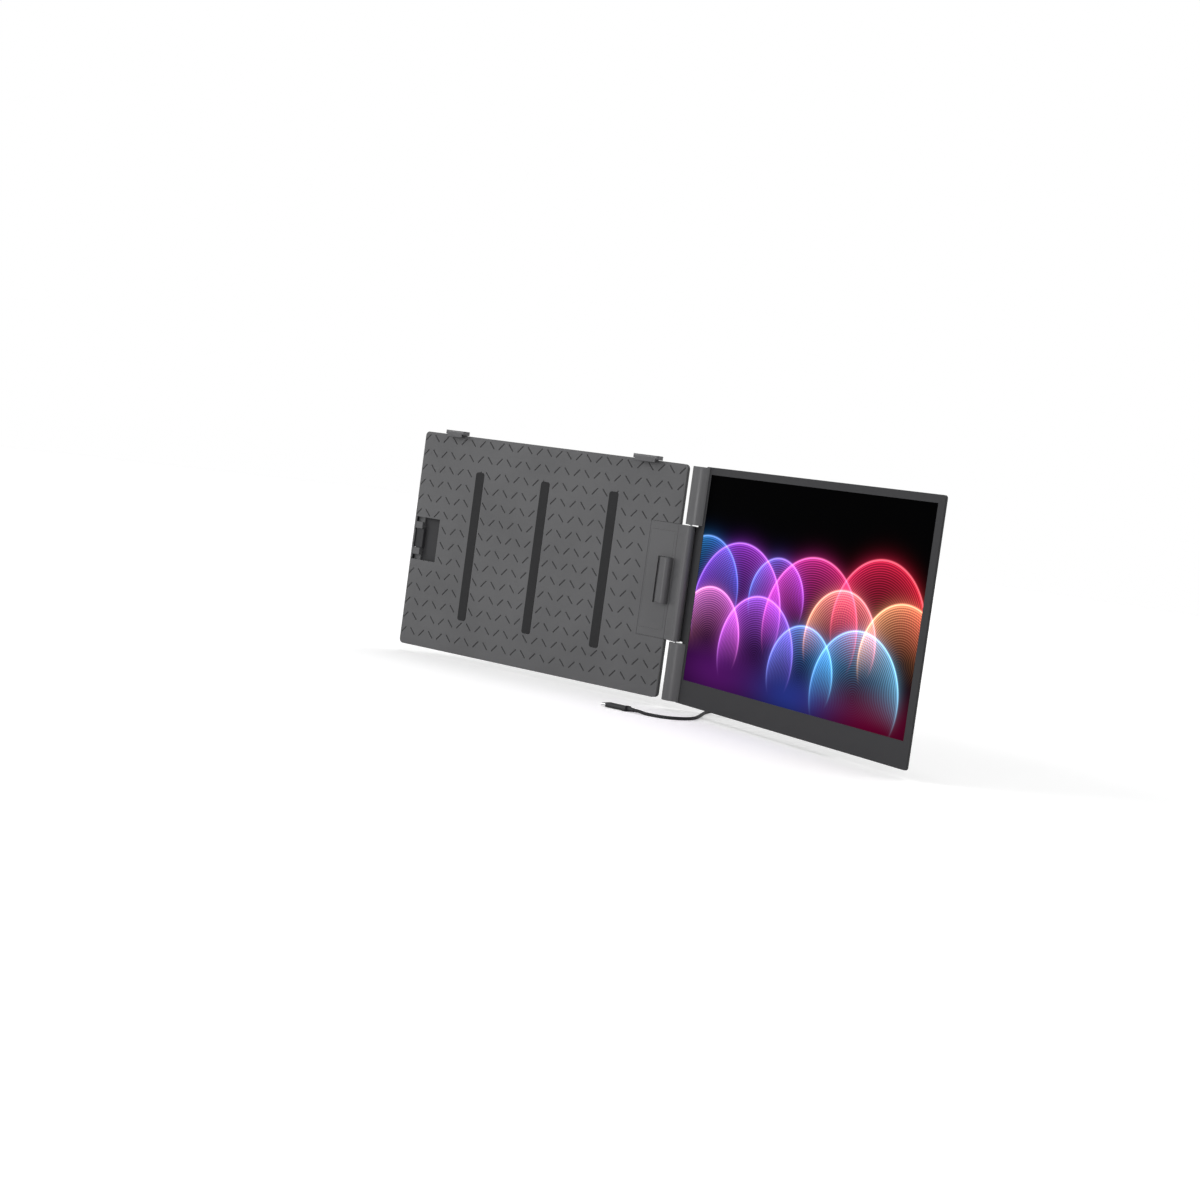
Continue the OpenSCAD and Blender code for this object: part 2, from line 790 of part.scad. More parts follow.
// Section of the lip that closes the gap between the barrel and the screen's edge. Its tip lies along
// the leaf's front when the screen is shut against the lid.
module barrel_lip() {
    edge = [-axis_to_bracket, cover_front + axis_to_seat];
    turn = atan2(edge[1], edge[0]) + acos(barrel_r / norm(edge)) - 180;
    tip = (barrel_r + lip_gap) * [cos(turn), sin(turn)];
    heel = axis_to_front + screen_edge_t - face;
    polygon([[axis_to_screen + 1, axis_to_front], [axis_to_screen - 0.6, axis_to_front], tip,
        tip + [-lip_reach, 0.6 * lip_reach], [tip[0] - lip_reach, heel], [axis_to_screen + 1, heel]]);
}

module screen_bezel() {
    chin_h = bezel_chin - glass_margin - 3;
    color(shade_shell) on_screen() difference() {
        union() {
            slab(axis_to_front, screen_edge_t - face) screen_outline();
            post(fit - leaf_half, barrel_len - 2 * fit) barrel_lip();
        }
        slab(axis_to_front - 1, screen_edge_t + 2) active_area(0);
        slab(axis_to_front + bezel_lip, screen_edge_t) active_area(glass_margin + 0.1);
        // Hollows behind the chin, with ribs between them
        slab(axis_to_front + bezel_lip + 0.3, screen_edge_t)
            for (x = [screen_corner_r + 3 : chin_rib_pitch : screen_w - chin_rib_pitch / 2])
                translate([axis_to_screen + x, -screen_h / 2 + 2])
                    square([min(chin_rib_pitch - 1.2, screen_w - x - 5), chin_h - 2]);
    }
}

module display_panel() {
    color("#2b3a78") on_screen() slab(glass_front, glass_t) active_area(glass_margin);
}

module backlight_tray() {
    press_depth = 0.4;
    color(shade_metal) on_screen() difference() {
        slab(tray_front, tray_t) active_area(glass_margin);
        // Pressed fields that stiffen the sheet
        slab(tray_back - press_depth, 1)
            for (i = [-1 : 1], j = [-1, 1])
                translate([active_mid_x + i * active_w / 3.6, active_mid_z + j * active_h / 4.4])
                    rounded(active_w / 4.2, active_h / 2.8, 6);
        slab(tray_front - 1, tray_t + 2) arm_screw_holes(screw_r + run);
    }
}

module arm_screw_holes(r) {
    for (x = arm_screw_x, side = [-1, 1], step = [-18, 0, 18])
        translate([x, side * (knuckle_mid_z + step)]) circle(r);
}

// The slim back with its taper, grown or shrunk by inset, closed at y1
module tapered_back(y0, y1, inset0, inset1) {
    skin = 0.1;
    hull() {
        slab(y0, skin) screen_outline(inset0, $fn = 32);
        slab(y1 - skin, skin) screen_outline(inset1, $fn = 32);
    }
}

module box_outline(inset) {
    translate([box_mid_x, box_mid_z])
        rounded(box_w - 2 * inset, box_h - 2 * inset, box_corner_r - inset);
}

module screen_back() {
    taper_h = slim_back - bezel_back;
    side_wall = screen_wall * norm([screen_taper, taper_h]) / taper_h;
    inner_taper = screen_taper * (inner_back - bezel_back) / taper_h;
    rib_h = 1.4;
    color(shade_shell) on_screen() difference() {
        union() {
            difference() {
                tapered_back(bezel_back, slim_back, 0, screen_taper);
                tapered_back(bezel_back - 0.5, inner_back, side_wall, side_wall + inner_taper);
            }
            slab(inner_back - rib_h, rib_h + 0.4) {
                for (z = [10, 60])
                    translate([screen_mid_x + 15, z]) square([screen_w - 80, 1.2], center = true);
                for (i = [-1 : 1])
                    translate([screen_mid_x + i * screen_w / 3.6, 20])
                        square([1.2, screen_h - 70], center = true);
            }
            slab(inner_back, box_back - 1.2 - inner_back) box_outline(0);
            hull() {
                slab(box_back - 1.3, 0.1, $fn = 32) box_outline(0);
                slab(box_back - 0.1, 0.1, $fn = 32) box_outline(1.2);
            }
        }
        slab(inner_back - rib_h - 1, box_inner_back - inner_back + rib_h + 1) difference() {
            box_outline(screen_wall);
            for (p = board_posts()) translate(p) circle(post_r);
        }
        slab(inner_back - rib_h - 1, board_back + face - inner_back + rib_h + 1) box_outline(screen_wall);
        // Vents in the box's back, behind the largest chip
        slab(box_inner_back - 0.5, screen_wall + 1) for (i = [0 : vent_count - 1])
            translate([vent_mid[0] + (i - (vent_count - 1) / 2) * vent_pitch, vent_mid[1]])
                rounded(vent_w, vent_len, vent_w / 2 - 0.05);
        // Slots for the hinge arms' flanges
        slab(flange_front - 0.1, flange_t + 0.2) for (side = [-1, 1])
            translate([axis_to_screen + flange_len / 2, side * knuckle_mid_z])
                square([flange_len + 1, knuckle_len + 0.4], center = true);
        // Mouths of the sockets in the near side, and of the keys in the far side
        for (z = socket_z) bar_along_x(box_x - 1, screen_wall + 2)
            translate([socket_y, z]) rounded(socket_h + 0.3, socket_w + 0.3, socket_h / 2);
        bar_along_x(box_x - 1, screen_wall + 2)
            translate([socket_y, hdmi_z]) square([socket_h + 0.3, hdmi_w + 0.3], center = true);
        bar_along_x(box_x + box_w - screen_wall - 1, screen_wall + 2) {
            translate([socket_y, button_z]) rounded(key_h + 0.4, button_w + 0.4, key_h / 2);
            translate([socket_y, rocker_z]) rounded(key_h + 0.4, rocker_w + 0.8, key_h / 2);
        }
    }
}

function board_posts() = [for (sx = [-1, 1], sz = [-1, 1])
    [box_mid_x + sx * (box_w / 2 - 16), box_mid_z + sz * (box_h / 2 - 9)]];

// Section of a hinge arm: a knuckle whose front is crowned down to the bezel, and the flange inside
// the screen
module arm_section() {
    reach = axis_to_screen + arm_reach;
    seat = axis_to_front - face;
    heel = [axis_to_screen - run, flange_front + flange_t];
    circle(barrel_r);
    intersection() {
        translate(crown_mid) circle(crown_r);
        polygon([[-0.2, -2 * barrel_r], [reach, -2 * barrel_r], [reach, seat], [-0.2, seat]]);
    }
    polygon([[0, 0], [heel[0], 0], [heel[0], flange_front],
        [axis_to_screen + flange_len, flange_front], [axis_to_screen + flange_len, heel[1]],
        heel, touch(heel, barrel_r, 1)]);
}

module hinge_arm(side) {
    color(shade_cover) on_screen() difference() {
        post(side * knuckle_mid_z - knuckle_len / 2, knuckle_len) arm_section();
        // Bores for the torque sleeve and, at the far end, for the cap
        translate([0, 0, side * (knuckle_mid_z - knuckle_len / 2)])
            cylinder(r = sleeve_r + face, h = 2 * sleeve_len, center = true);
        translate([0, 0, side * (knuckle_mid_z + knuckle_len / 2)])
            cylinder(r = cap_r + face, h = 2 * cap_t, center = true);
        slab(flange_front - 1, flange_t + 2) arm_screw_holes(screw_r + run);
        slab(flange_front + flange_t - head_t, head_t + 1) arm_screw_holes(head_r + 0.1);
    }
}

module hinge_arm_upper() { hinge_arm(1); }
module hinge_arm_lower() { hinge_arm(-1); }

module torque_sleeves() {
    color(shade_metal) on_screen() for (side = [-1, 1])
        translate([0, 0, side * (knuckle_mid_z - knuckle_len / 2 + sleeve_len / 2)]) difference() {
            cylinder(r = sleeve_r, h = sleeve_len - 0.1, center = true);
            cylinder(r = pin_r + run, h = sleeve_len + 1, center = true);
        }
}

module knuckle_caps() {
    color(shade_shell) on_screen() for (side = [-1, 1])
        translate([0, 0, side * (knuckle_mid_z + knuckle_len / 2 - cap_t / 2)])
            cylinder(r = cap_r, h = cap_t - 0.1, center = true);
}

module driver_board() {
    inset = screen_wall + 0.4;
    switch_w = 3;
    switch_reach = 3;
    color(shade_board) on_screen() {
        difference() {
            slab(board_back - board_t, board_t) box_outline(inset);
            // Relief under the near and far walls
            slab(board_back - board_t - 1, board_t + 2) translate([box_mid_x, box_mid_z + box_h / 2])
                square([box_w - 2 * board_side, 5], center = true);
        }
        // Chips, and the switches behind the keys
        slab(board_back - 0.01, 1.6) {
            translate([box_mid_x - 30, box_mid_z]) square([18, 18], center = true);
            translate([box_mid_x + 10, box_mid_z + 4]) square([9, 12], center = true);
            translate([box_mid_x + 45, box_mid_z - 8]) square([12, 8], center = true);
        }
        for (z = [button_z, rocker_z - 5.5, rocker_z + 5.5])
            slab(board_back - 0.01, socket_h)
                translate([switch_edge() - switch_reach / 2, z])
                    square([switch_reach, switch_w], center = true);
    }
}

// Where the switches' faces stand: the button's travel behind its flange
function switch_edge() = box_x + box_w - screen_wall - 1.2 - button_travel - 0.3;

// The outline of a socket's shell, or of its mouth
module socket_outline(inset) {
    rounded(socket_h - 2 * inset, socket_w - 2 * inset, socket_h / 2 - inset - 0.01);
}

module usb_socket(z) {
    tongue_t = 0.7;
    tongue_w = 6.7;
    translate([0, socket_y, z]) difference() {
        bar_along_x(box_x + 0.2, socket_len) socket_outline(0);
        bar_along_x(box_x - 1, socket_len + 0.2) difference() {
            socket_outline(socket_wall);
            square([tongue_t, tongue_w], center = true);
        }
        bar_along_x(box_x - 1, 3.4) socket_outline(socket_wall);
    }
}

module usb_sockets() {
    color(shade_metal) on_screen() for (z = socket_z) usb_socket(z);
}

module hdmi_socket() {
    half = hdmi_w / 2;
    color(shade_metal) on_screen() translate([0, socket_y, hdmi_z]) difference() {
        bar_along_x(box_x + 0.2, socket_len) square([socket_h, hdmi_w], center = true);
        bar_along_x(box_x - 1, socket_len) difference() {
            polygon([[-1.3, 0.6 - half], [0.6, 0.6 - half], [1.3, 1.4 - half],
                [1.3, half - 1.4], [0.6, half - 0.6], [-1.3, half - 0.6]]);
            square([0.7, hdmi_w - 4], center = true);
        }
    }
}

module power_button() {
    outer = box_x + box_w;
    color(shade_cover) on_screen() translate([0, socket_y, button_z]) {
        bar_along_x(outer - screen_wall - 1.2, screen_wall + 1.2 + button_proud)
            rounded(key_h, button_w, key_h / 2 - 0.01);
        bar_along_x(outer - screen_wall - 1.2, 0.9)
            square([socket_h - 0.1, button_w + 2 * flange_rim], center = true);
    }
}

module menu_rocker() {
    outer = box_x + box_w;
    color(shade_cover) on_screen() translate([0, socket_y, rocker_z]) {
        bar_along_x(outer - screen_wall - 0.9, screen_wall + 0.9 + button_proud)
            rounded(key_h, rocker_w, key_h / 2 - 0.01);
        // Trunnion that the key tilts on
        translate([outer - screen_wall - 0.9, 0, 0]) rotate([90, 0, 0])
            cylinder(r = 0.8, h = socket_h - 0.1, center = true);
    }
}

module screen_screws() {
    color(shade_metal) on_screen() {
        slab(flange_front + flange_t - head_t + face, head_t - face) arm_screw_holes(head_r);
        slab(tray_front + 0.2, flange_front + flange_t - tray_front - 0.2) arm_screw_holes(screw_r);
    }
}

// ---- Cable ----

// A plug that points along +X, its body's front face at the origin, with a collar before the relief
module plug_body(len, relief_len) {
    bar_along_x(-len, collar_len) rounded(plug_w, plug_t, plug_t / 2 - 0.2);
    bar_along_x(-len + 1, len - 1)
        rounded(plug_w - 2 * plug_nose, plug_t - 2 * plug_nose, plug_t / 2 - plug_nose - 0.2);
    translate([-len - relief_len, 0, 0]) rotate([0, 90, 0])
        cylinder(r1 = cord_d / 2 + 0.3, r2 = relief_r, h = relief_len + 0.1);
}

module plug_shell() {
    difference() {
        bar_along_x(face, plug_tip) rounded(plug_tip_w, plug_tip_t, plug_tip_t / 2 - 0.01);
        bar_along_x(1, plug_tip + 1)
            rounded(plug_tip_w - 0.6, plug_tip_t - 0.6, plug_tip_t / 2 - 0.31);
    }
}

module at_laptop_plug() {
    translate(laptop_plug_at) rotate([0, 0, 180]) children();
}

module at_screen_plug() {
    on_screen() translate([box_x - plug_stop, socket_y, socket_z[0]]) rotate([90, 0, 0]) children();
}

module laptop_plug() {
    color(shade_shell) at_laptop_plug() plug_body(laptop_plug_len, laptop_relief_len);
}

module laptop_plug_shell() { color(shade_metal) at_laptop_plug() plug_shell(); }

module screen_plug() {
    color(shade_shell) at_screen_plug() plug_body(screen_plug_len, screen_relief_len);
}

module screen_plug_shell() { color(shade_metal) at_screen_plug() plug_shell(); }

// Where the cable enters the screen plug's relief, after two points before it on the plug's axis
mouth_x = box_x - plug_stop - screen_plug_len - screen_relief_len;
screen_lead = [for (x = [-5, -2.5, 0]) placed([mouth_x + x, socket_y, socket_z[0]])];

// A smooth curve through the points of a route, in two steps from each point to the next
function curve(route) = let (last = len(route) - 1) concat(
    [for (i = [0 : last - 1], u = [0, 0.5])
        let (a = route[max(i - 1, 0)], b = route[i], c = route[i + 1], d = route[min(i + 2, last)])
        b + u * (c - a) / 2 + u * u * (2 * a - 5 * b + 4 * c - d) / 2
            + u * u * u * (3 * b - a - 3 * c + d) / 2],
    [route[last]]
);

function unit(v) = v / norm(v);

// A tube of diameter d along the points of a path
module tube(path, d, sides) {
    last = len(path) - 1;
    points = [for (i = [0 : last])
        let (ahead = unit(path[min(i + 1, last)] - path[max(i - 1, 0)]),
            across = unit(cross(ahead, [0, 0, 1])), up = cross(across, ahead))
        for (s = [0 : sides - 1])
            path[i] + d / 2 * (cos(360 * s / sides) * across + sin(360 * s / sides) * up)];
    polyhedron(points, tube_faces(last, sides));
}

module cable() {
    color(shade_rubber) {
        tube(curve(route_low), cord_d, cord_sides);
        tube(curve(concat(route_high, screen_lead)), cord_d, cord_sides);
    }
}

module cable_coil() {
    w = coil_turns_wide * cord_d;
    h = coil_turns_high * cord_d;
    color(shade_rubber) translate([coil_at[0], coil_at[1], floor_z + h / 2]) rotate_extrude($fn = 64)
        translate([coil_mid_r, 0]) rounded(w, h, cord_d / 2);
}

bracket_shell();
front_cover();
rubber_strips();
hinge_leaf();
leaf_cover();
hinge_pins();
bracket_screws();
top_clip_left();
top_clip_right();
top_clip_pads_left();
top_clip_pads_right();
top_spring_left();
top_spring_right();
side_hook_right();
side_hook_pad_right();
side_slider_left();
flip_hook_left();
flip_hook_pin();
kickstand();
kickstand_pin();
kickstand_foot();
screen_bezel();
display_panel();
backlight_tray();
screen_back();
hinge_arm_upper();
hinge_arm_lower();
torque_sleeves();
knuckle_caps();
driver_board();
usb_sockets();
hdmi_socket();
power_button();
menu_rocker();
screen_screws();
cable();
cable_coil();
laptop_plug();
laptop_plug_shell();
screen_plug();
screen_plug_shell();
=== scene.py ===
# A clip-on laptop screen extender: a bracket for the laptop's lid and a second screen beside it.
# All lengths are in metres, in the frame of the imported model: +Z up, +X towards the hinged screen,
# -Y towards the user, with the origin at the centre of the seat that the lid leans on.
import math

import bmesh
import bpy
from mathutils import Matrix, Vector


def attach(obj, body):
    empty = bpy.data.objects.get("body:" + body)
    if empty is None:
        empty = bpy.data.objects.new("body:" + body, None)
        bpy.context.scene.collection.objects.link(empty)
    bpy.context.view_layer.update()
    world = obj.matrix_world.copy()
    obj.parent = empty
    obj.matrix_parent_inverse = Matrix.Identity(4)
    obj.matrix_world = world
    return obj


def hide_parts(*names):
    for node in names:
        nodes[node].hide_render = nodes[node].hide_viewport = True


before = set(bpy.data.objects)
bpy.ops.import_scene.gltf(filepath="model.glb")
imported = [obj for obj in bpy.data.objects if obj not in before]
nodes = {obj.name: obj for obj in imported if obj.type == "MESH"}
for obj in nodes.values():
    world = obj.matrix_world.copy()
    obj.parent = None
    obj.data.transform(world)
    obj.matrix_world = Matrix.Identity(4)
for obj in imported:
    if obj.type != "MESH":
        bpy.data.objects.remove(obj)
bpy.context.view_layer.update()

MM = 0.001
# Painted shade: the colour on the floors of grooves is darkened to this fraction, in place of the shade that
# falls in them.
GROOVE_PAINTED_SHADE = 0.28  # of the paint's colour, on the floors of grooves

# ---- Camera, at the viewing angle and distance of the photograph ----

CAMERA_AT = Vector((1.3642, -1.6869, 0.0991))
CAMERA_TARGET = Vector((0.0969, 0.0, -0.0329))
CAMERA_ROLL = math.radians(7.779)
CAMERA_LENS = 58.65


def add_camera():
    data = bpy.data.cameras.new("camera")
    data.lens = CAMERA_LENS
    data.sensor_width = 36.0
    data.sensor_height = 36.0
    data.sensor_fit = "HORIZONTAL"
    data.clip_start = 0.05
    camera = bpy.data.objects.new("camera", data)
    bpy.context.scene.collection.objects.link(camera)
    aim = (CAMERA_TARGET - CAMERA_AT).to_track_quat("-Z", "Y").to_matrix().to_4x4()
    roll = Matrix.Rotation(CAMERA_ROLL, 4, "Z")
    camera.matrix_world = Matrix.Translation(CAMERA_AT) @ aim @ roll
    bpy.context.scene.camera = camera


add_camera()

# ---- Frame of the screen: x along it from the hinge axis, y towards its back, z up ----

HINGE_AT = Vector((0.2033, -0.003, 0.0))
SWING = math.radians(19.7)
ON_SCREEN = Matrix.Translation(HINGE_AT) @ Matrix.Rotation(-SWING, 4, "Z")


def on_screen(x, y, z):
    """The place in the part of a point in the screen's frame, given in millimetres."""
    return ON_SCREEN @ Vector((x * MM, y * MM, z * MM))


# ---- Shader helpers ----

def put(tree, value, socket):
    """Sets a socket to a number or vector, or links it to another socket."""
    if isinstance(value, bpy.types.NodeSocket):
        tree.links.new(value, socket)
    else:
        socket.default_value = value


def calc(tree, operation, *values, clamp=False):
    node = tree.nodes.new("ShaderNodeMath")
    node.operation = operation
    node.use_clamp = clamp
    for value, socket in zip(values, node.inputs):
        put(tree, value, socket)
    return node.outputs[0]


def vector(tree, operation, *values):
    node = tree.nodes.new("ShaderNodeVectorMath")
    node.operation = operation
    sockets = [s for s in node.inputs if s.enabled]
    for value, socket in zip(values, sockets):
        put(tree, value, socket)
    return [s for s in node.outputs if s.enabled][0]


def step(tree, value, low, high, to_low=0.0, to_high=1.0):
    node = tree.nodes.new("ShaderNodeMapRange")
    node.interpolation_type = "SMOOTHSTEP"
    for name, number in zip(("Value", "From Min", "From Max", "To Min", "To Max"),
                            (value, low, high, to_low, to_high)):
        put(tree, number, node.inputs[name])
    return node.outputs[0]


def place_of(tree, scale=(1, 1, 1)):
    """The point on the object in its own frame, stretched by a scale."""
    coordinates = tree.nodes.new("ShaderNodeTexCoord")
    mapping = tree.nodes.new("ShaderNodeMapping")
    mapping.inputs["Scale"].default_value = scale
    tree.links.new(coordinates.outputs["Object"], mapping.inputs["Vector"])
    return mapping.outputs["Vector"]


def noise(tree, place, scale, detail=2.0):
    node = tree.nodes.new("ShaderNodeTexNoise")
    tree.links.new(place, node.inputs["Vector"])
    node.inputs["Scale"].default_value = scale
    node.inputs["Detail"].default_value = detail
    return node.outputs["Fac"]


def blend_colour(tree, fraction, low, high):
    node = tree.nodes.new("ShaderNodeMix")
    node.data_type = "RGBA"
    tree.links.new(fraction, node.inputs[0])
    node.inputs[6].default_value = (*low, 1)
    node.inputs[7].default_value = (*high, 1)
    return node.outputs[2]


def new_material(name):
    material = bpy.data.materials.new(name)
    material.use_nodes = True
    return material, material.node_tree, material.node_tree.nodes["Principled BSDF"]


def grain(tree, shader, height, strength, depth, edge=0.0):
    """Bump from a height, over edges that are rounded by a small radius."""
    bump = tree.nodes.new("ShaderNodeBump")
    bump.inputs["Strength"].default_value = strength
    bump.inputs["Distance"].default_value = depth
    tree.links.new(height, bump.inputs["Height"])
    if edge:
        bevel = tree.nodes.new("ShaderNodeBevel")
        bevel.samples = 4
        bevel.inputs["Radius"].default_value = edge
        tree.links.new(bevel.outputs["Normal"], bump.inputs["Normal"])
    tree.links.new(bump.outputs["Normal"], shader.inputs["Normal"])


def moulded(name, colour, rough, pits=1500.0, specular=0.3, edge=0.3 * MM, bump=0.25, groove_y=None):
    """Moulded plastic: a fine eroded grain, with faint wear in its gloss.

    Faces that look to -Y from behind groove_y are the floors of grooves; their colour is darkened there as
    painted shade.
    """
    material, tree, shader = new_material(name)
    place = place_of(tree)
    fine = noise(tree, place, pits, 3.0)
    broad = noise(tree, place, 14.0, 3.0)
    tone = calc(tree, "MULTIPLY_ADD", broad, 0.6, calc(tree, "MULTIPLY", fine, 0.4))
    low = tuple(0.86 * c for c in colour)
    high = tuple(1.14 * c for c in colour)
    paint = blend_colour(tree, tone, low, high)
    # Painted shade: the floors of grooves are darkened in colour, in place of the shade that falls in them.
    if groove_y is not None:
        coordinates = tree.nodes.new("ShaderNodeTexCoord")
        at, facing = (tree.nodes.new("ShaderNodeSeparateXYZ") for _ in range(2))
        tree.links.new(coordinates.outputs["Object"], at.inputs[0])
        tree.links.new(coordinates.outputs["Normal"], facing.inputs[0])
        groove_painted_shade_mask = calc(tree, "MULTIPLY", calc(tree, "GREATER_THAN", at.outputs["Y"], groove_y),
                    calc(tree, "LESS_THAN", facing.outputs["Y"], -0.5))
        paint = vector(tree, "SCALE", paint, calc(tree, "MULTIPLY_ADD", groove_painted_shade_mask, GROOVE_PAINTED_SHADE - 1, 1.0))
    tree.links.new(paint, shader.inputs["Base Color"])
    tree.links.new(step(tree, broad, 0.3, 0.7, rough - 0.05, rough + 0.06), shader.inputs["Roughness"])
    shader.inputs["Specular IOR Level"].default_value = specular
    grain(tree, shader, fine, bump, 0.05 * MM, edge)
    return material


def brushed(name, colour, rough, along=(1, 1, 0.03)):
    """Metal with fine lines left by a brush or a lathe."""
    material, tree, shader = new_material(name)
    lines = noise(tree, place_of(tree, along), 2600.0, 3.0)
    tree.links.new(blend_colour(tree, lines, tuple(0.8 * c for c in colour), colour),
                   shader.inputs["Base Color"])
    tree.links.new(step(tree, lines, 0.2, 0.8, rough - 0.07, rough + 0.08), shader.inputs["Roughness"])
    shader.inputs["Metallic"].default_value = 1.0
    grain(tree, shader, lines, 0.3, 0.02 * MM, 0.1 * MM)
    return material


def rubber(name, colour, ribs=0.0):
    """Matt rubber with a dusty grain, and fine ribs across it where asked."""
    material, tree, shader = new_material(name)
    place = place_of(tree)
    fine = noise(tree, place, 2400.0, 4.0)
    height = fine
    if ribs:
        parts = tree.nodes.new("ShaderNodeSeparateXYZ")
        tree.links.new(place, parts.inputs[0])
        wave = calc(tree, "SINE", calc(tree, "MULTIPLY", parts.outputs["Z"], 2 * math.pi / ribs))
        height = calc(tree, "MULTIPLY_ADD", wave, 1.5, fine)
    tree.links.new(blend_colour(tree, fine, tuple(0.8 * c for c in colour), tuple(1.25 * c for c in colour)),
                   shader.inputs["Base Color"])
    tree.links.new(step(tree, fine, 0.2, 0.8, 0.68, 0.86), shader.inputs["Roughness"])
    shader.inputs["Specular IOR Level"].default_value = 0.25
    grain(tree, shader, height, 0.5, 0.08 * MM, 0.15 * MM)
    return material


def circuit_board(name):
    """Green solder mask over copper traces on a square grid."""
    material, tree, shader = new_material(name)
    place = place_of(tree)
    cells = tree.nodes.new("ShaderNodeTexVoronoi")
    cells.distance = "MANHATTAN"
    cells.inputs["Scale"].default_value = 260.0
    tree.links.new(place, cells.inputs["Vector"])
    trace = step(tree, cells.outputs["Distance"], 0.42, 0.5)
    tree.links.new(blend_colour(tree, trace, (0.012, 0.085, 0.04), (0.02, 0.16, 0.07)),
                   shader.inputs["Base Color"])
    tree.links.new(step(tree, trace, 0.0, 1.0, 0.28, 0.4), shader.inputs["Roughness"])
    grain(tree, shader, trace, 0.4, 0.04 * MM)
    return material


# ---- The picture on the lit screen: overlapping discs of fine rings, in a made-up layout ----

ACTIVE_LEFT = 17.4 * MM
ACTIVE_LOW = -98.9 * MM
ACTIVE_H = 215.4 * MM

# Centre and radius in heights of the picture, colours at the left and right of the disc, strength
DISCS = [
    ((0.06, 0.44), 0.27, (0.02, 0.32, 0.55), (0.06, 0.12, 0.80), 1.0),
    ((0.33, 0.36), 0.34, (0.25, 0.05, 0.85), (0.60, 0.08, 0.80), 1.0),
    ((0.62, 0.46), 0.20, (0.05, 0.18, 0.80), (0.45, 0.05, 0.75), 1.1),
    ((0.88, 0.36), 0.33, (0.80, 0.06, 0.60), (0.90, 0.03, 0.14), 1.0),
    ((1.33, 0.43), 0.30, (0.90, 0.03, 0.14), (0.85, 0.02, 0.05), 1.1),
    ((1.10, 0.33), 0.24, (1.00, 0.40, 0.22), (0.95, 0.20, 0.28), 1.2),
    ((1.50, 0.30), 0.26, (1.00, 0.50, 0.24), (0.95, 0.28, 0.12), 1.2),
    ((0.14, 0.22), 0.25, (1.00, 0.34, 0.40), (0.80, 0.12, 0.80), 1.1),
    ((0.52, 0.19), 0.28, (0.62, 0.10, 0.90), (0.22, 0.12, 0.90), 1.1),
    ((0.86, 0.15), 0.23, (0.16, 0.22, 0.95), (0.10, 0.50, 1.00), 1.0),
    ((1.24, 0.12), 0.29, (0.10, 0.42, 1.00), (0.22, 0.65, 1.00), 1.0),
]
# Centre, spread and colour of the soft glows at the foot of the picture
GLOWS = [
    ((0.25, 0.08), (0.34, 0.13), (0.07, 0.006, 0.11)),
    ((1.38, 0.05), (0.34, 0.12), (0.10, 0.0, 0.02)),
    ((0.82, 0.06), (0.26, 0.10), (0.008, 0.03, 0.20)),
]
RING_PITCH = 0.0105


def disc_group():
    """Shader group: the light at a place of one disc, strongest at its rim and fading downwards."""
    group = bpy.data.node_groups.new("lit_disc", "ShaderNodeTree")
    sockets = (("Place", "Vector"), ("Centre", "Vector"), ("Radius", "Float"), ("Left", "Vector"),
               ("Right", "Vector"), ("Strength", "Float"))
    for name, kind in sockets:
        group.interface.new_socket(name, in_out="INPUT", socket_type="NodeSocket" + kind)
    group.interface.new_socket("Light", in_out="OUTPUT", socket_type="NodeSocketVector")
    given = group.nodes.new("NodeGroupInput").outputs
    away = vector(group, "SUBTRACT", given["Place"], given["Centre"])
    parts = group.nodes.new("ShaderNodeSeparateXYZ")
    group.links.new(away, parts.inputs[0])
    radius = given["Radius"]
    depth = calc(group, "SUBTRACT", radius, vector(group, "LENGTH", away))
    height = calc(group, "DIVIDE", parts.outputs["Y"], radius)
    inside = calc(group, "GREATER_THAN", depth, 0.0)
    wave = calc(group, "COSINE", calc(group, "MULTIPLY", depth, 2 * math.pi / RING_PITCH))
    lines = calc(group, "POWER", calc(group, "MULTIPLY_ADD", wave, 0.5, 0.5), 3.0)
    fading = calc(group, "EXPONENT", calc(group, "DIVIDE", calc(group, "MULTIPLY", depth, -2.3), radius))
    body = calc(group, "MULTIPLY", inside, fading)
    body = calc(group, "MULTIPLY", body, step(group, height, -0.4, 0.5))
    body = calc(group, "MULTIPLY", body, calc(group, "MULTIPLY_ADD", lines, 0.75, 0.3))
    shown = step(group, height, -0.5, 0.6)
    near = calc(group, "DIVIDE", depth, 0.0045)
    rim = calc(group, "EXPONENT", calc(group, "MULTIPLY", calc(group, "MULTIPLY", near, near), -1.0))
    rim = calc(group, "MULTIPLY", rim, shown)
    halo = calc(group, "EXPONENT", calc(group, "DIVIDE", calc(group, "ABSOLUTE", depth), -0.02))
    halo = calc(group, "MULTIPLY", halo, calc(group, "MULTIPLY", shown, 0.25))
    level = calc(group, "ADD", calc(group, "ADD", body, rim), halo)
    level = calc(group, "MULTIPLY", level, given["Strength"])
    side = calc(group, "DIVIDE", parts.outputs["X"], radius)
    side = calc(group, "MULTIPLY_ADD", side, 0.5, 0.5, clamp=True)
    drift = vector(group, "SUBTRACT", given["Right"], given["Left"])
    colour = vector(group, "ADD", given["Left"], vector(group, "SCALE", drift, side))
    light = vector(group, "SCALE", colour, level)
    whiter = calc(group, "MULTIPLY", rim, 0.14)
    combine = group.nodes.new("ShaderNodeCombineXYZ")
    for socket in combine.inputs:
        group.links.new(whiter, socket)
    out = group.nodes.new("NodeGroupOutput")
    group.links.new(vector(group, "ADD", light, combine.outputs[0]), out.inputs["Light"])
    return group


